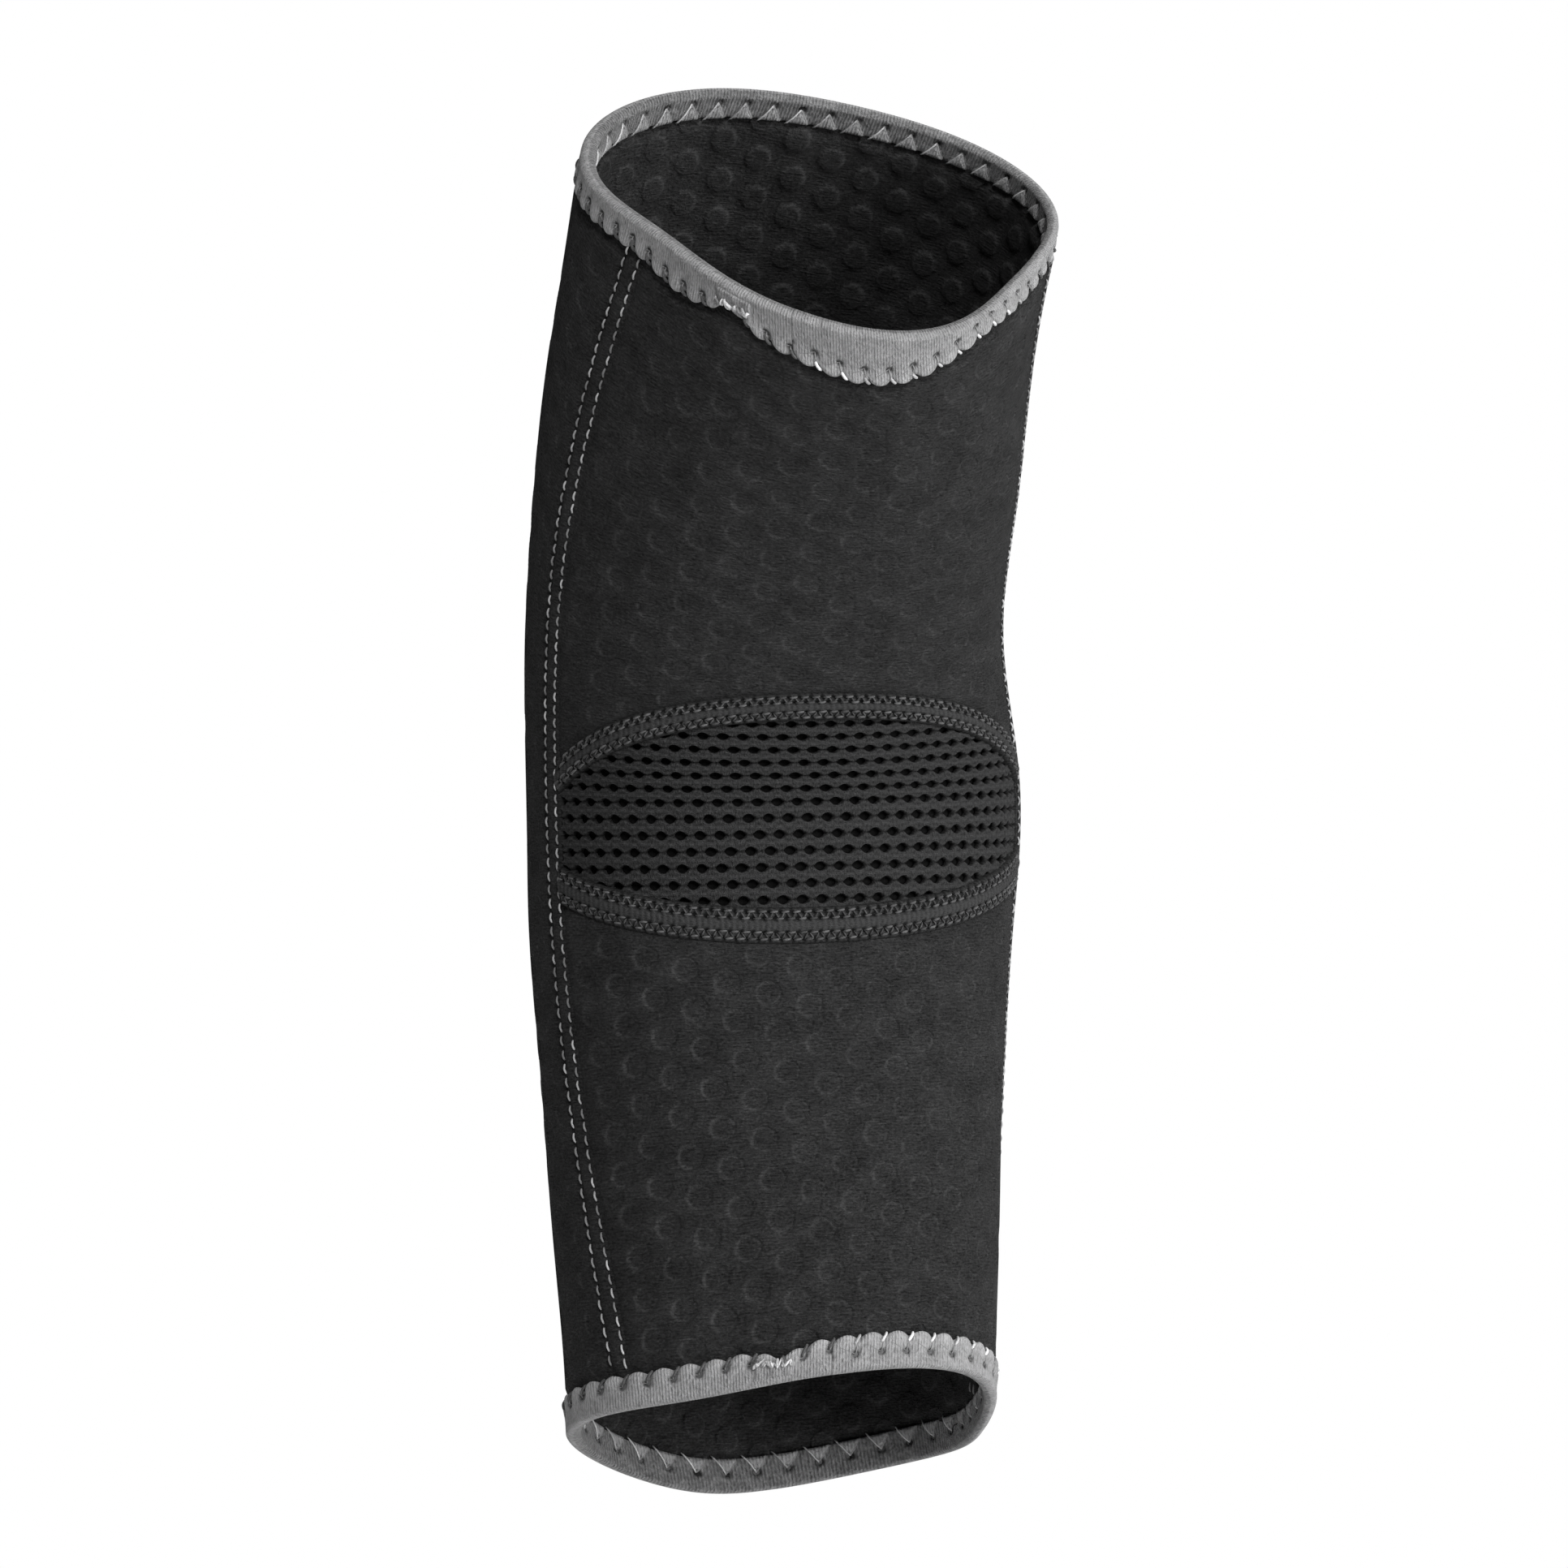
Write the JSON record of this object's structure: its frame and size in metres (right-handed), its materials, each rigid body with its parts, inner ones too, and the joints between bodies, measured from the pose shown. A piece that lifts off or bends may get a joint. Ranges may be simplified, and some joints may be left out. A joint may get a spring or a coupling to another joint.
{
  "type": "elbow pad",
  "caption": "Pre-bent tubular elbow sleeve in thick fabric, with a mesh insert at the crook, flat side seams and folded bindings at both rims.",
  "frame": {"origin": "centre of the elbow, on the sleeve's centre line midway between the rims", "axes": "+Z along the sleeve towards the upper arm, -Y out of the crook of the elbow, +X to the right seen from the crook"},
  "size_m": [0.0886, 0.1039, 0.2486],
  "materials": {
    "neoprene": "matt black brushed knit bonded to 2.5 mm foam rubber, embossed with round dots",
    "mesh": "black knitted ventilation mesh with staggered holes",
    "seam_tape": "black flat cover-stitched seam band",
    "cover_stitch": "black cover stitching",
    "binding": "mid-grey fine-ribbed stretch binding tape",
    "binding_thread": "light grey zigzag thread",
    "seam_thread": "light grey twin-needle flatlock thread on black"
  },
  "bodies": {
    "lower_sleeve": {"back_elbow_panel": "neoprene", "back_lower_panel": "neoprene", "bottom_binding": "binding", "bottom_binding_join": "binding", "bottom_binding_thread": "binding_thread", "front_lower_panel": "neoprene", "left_seam_elbow": "seam_thread", "left_seam_lower": "seam_thread", "lower_seam_tape": "seam_tape", "lower_tape_thread_inner": "cover_stitch", "lower_tape_thread_outer": "cover_stitch", "mesh_insert": "mesh", "right_seam_elbow": "seam_thread", "right_seam_lower": "seam_thread"},
    "upper_sleeve": {"front_upper_panel": "neoprene", "upper_seam_tape": "seam_tape", "upper_tape_thread_inner": "cover_stitch", "upper_tape_thread_outer": "cover_stitch", "back_upper_panel": "neoprene", "left_seam_upper": "seam_thread", "right_seam_upper": "seam_thread", "top_binding": "binding", "top_binding_join": "binding", "top_binding_thread": "binding_thread"}
  },
  "joints": [
    {"name": "elbow_bend", "type": "hinge", "parent": "lower_sleeve", "child": "upper_sleeve", "pos_m": [0, 0, 0], "axis": [1, 0, 0], "range_deg": [-50, 45], "stiffness_Nm_per_rad": 1, "deforming": ["mesh_insert", "back_elbow_panel", "left_seam_elbow", "right_seam_elbow"]}
  ]
}
